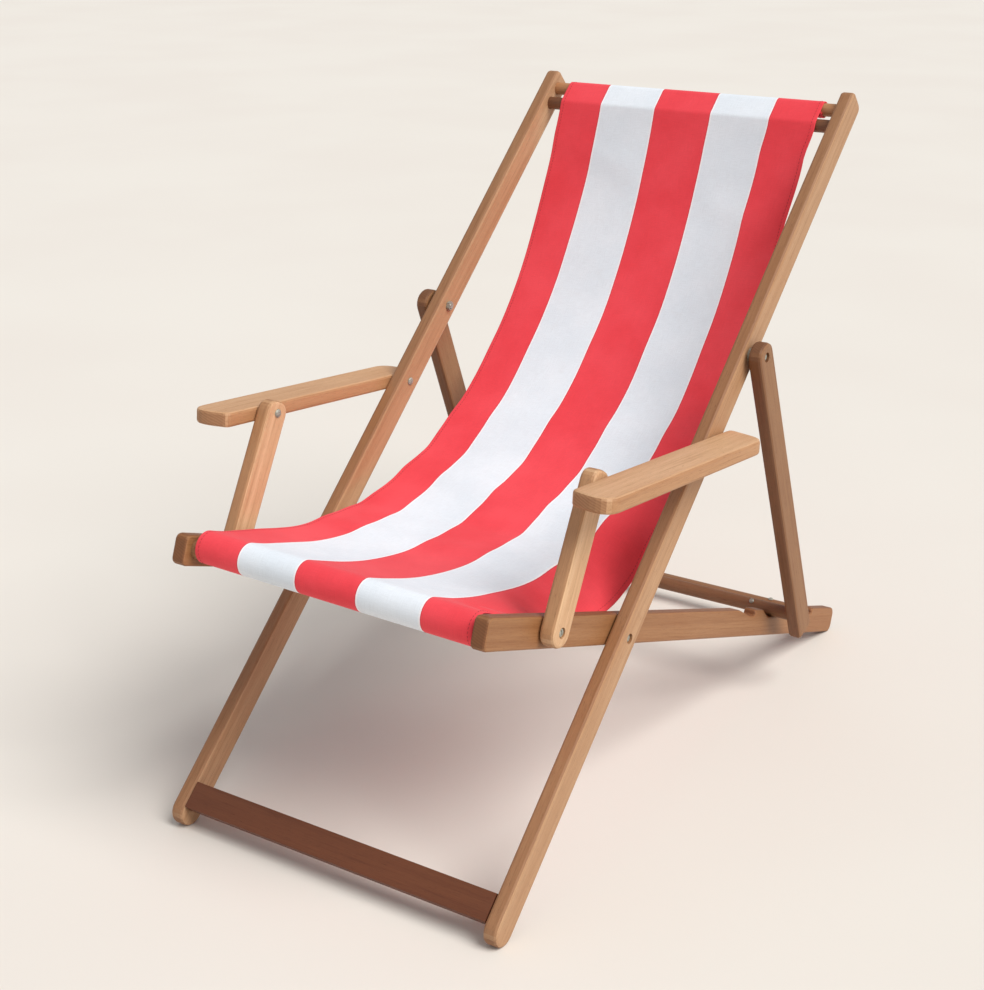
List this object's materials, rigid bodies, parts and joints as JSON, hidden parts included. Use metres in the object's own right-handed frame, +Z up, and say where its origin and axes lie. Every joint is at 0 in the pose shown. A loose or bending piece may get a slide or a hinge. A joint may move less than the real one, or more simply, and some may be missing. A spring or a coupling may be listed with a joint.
{
  "type": "folding deck chair",
  "caption": "Folding wooden deck chair with armrests, a propped long frame crossing a seat frame, and a striped canvas sling seat.",
  "frame": {"origin": "centre of the footprint of the set-up chair, on the ground", "axes": "+Z up, the sitter faces -Y, +X is on the right when looking along +Y"},
  "size_m": [0.666, 1.0936, 0.9297],
  "materials": {
    "timber": "oiled hardwood, satin",
    "zinc": "dull zinc plate",
    "canvas": "woven canvas, red and white stripes"
  },
  "bodies": {
    "long_frame": {"front_stretcher": "timber", "top_dowel_upper": "timber", "top_dowel_lower": "timber", "sling": "canvas", "long_rail_left": "timber", "main_bolt_left": "zinc", "main_washer_left": "zinc", "main_nut_left": "zinc", "prop_bolt_left": "zinc", "prop_spacer_left": "zinc", "prop_nut_left": "zinc", "long_rail_right": "timber", "main_bolt_right": "zinc", "main_washer_right": "zinc", "main_nut_right": "zinc", "prop_bolt_right": "zinc", "prop_spacer_right": "zinc", "prop_nut_right": "zinc"},
    "seat_frame": {"seat_front_dowel": "timber", "seat_rear_dowel": "timber", "rear_dowel_screw": "zinc", "seat_rail_left": "timber", "strut_bolt_left": "zinc", "strut_washer_left": "zinc", "strut_nut_left": "zinc", "seat_rail_right": "timber", "strut_bolt_right": "zinc", "strut_washer_right": "zinc", "strut_nut_right": "zinc"},
    "prop": {"prop_dowel": "timber", "prop_dowel_screw": "zinc", "prop_leg_left": "timber", "prop_leg_right": "timber"},
    "armrest_left": {"armrest_left": "timber", "arm_screw_left": "zinc", "arm_washer_left": "zinc"},
    "strut_left": {"arm_strut_left": "timber", "strut_screw_left": "zinc"},
    "armrest_right": {"armrest_right": "timber", "arm_screw_right": "zinc", "arm_washer_right": "zinc"},
    "strut_right": {"arm_strut_right": "timber", "strut_screw_right": "zinc"}
  },
  "joints": [
    {"name": "fold", "type": "hinge", "parent": "long_frame", "child": "seat_frame", "pos_m": [0, -0.2235, 0.297], "axis": [1, 0, 0], "range_deg": [0, 52], "deforming": ["sling"]},
    {"name": "prop_swing", "type": "hinge", "parent": "long_frame", "child": "prop", "pos_m": [0, 0.11191, 0.60327], "axis": [1, 0, 0], "range_deg": [0, 110]},
    {"name": "armrest_swing_left", "type": "hinge", "parent": "long_frame", "child": "armrest_left", "pos_m": [0, 0.00616, 0.50671], "axis": [1, 0, 0], "range_deg": [0, 37]},
    {"name": "strut_swing_left", "type": "hinge", "parent": "seat_frame", "child": "strut_left", "pos_m": [0, -0.39524, 0.37441], "axis": [1, 0, 0], "range_deg": [-65, 0]},
    {"name": "armrest_swing_right", "type": "hinge", "parent": "long_frame", "child": "armrest_right", "pos_m": [0, 0.00616, 0.50671], "axis": [1, 0, 0], "range_deg": [0, 37]},
    {"name": "strut_swing_right", "type": "hinge", "parent": "seat_frame", "child": "strut_right", "pos_m": [0, -0.39524, 0.37441], "axis": [1, 0, 0], "range_deg": [-65, 0]}
  ],
  "couplings": [
    {"joint": "prop_swing", "follows": "fold", "ratio": 2.1},
    {"joint": "armrest_swing_left", "follows": "fold", "ratio": 0.685},
    {"joint": "strut_swing_left", "follows": "fold", "ratio": -1.232},
    {"joint": "armrest_swing_right", "follows": "fold", "ratio": 0.685},
    {"joint": "strut_swing_right", "follows": "fold", "ratio": -1.232}
  ]
}
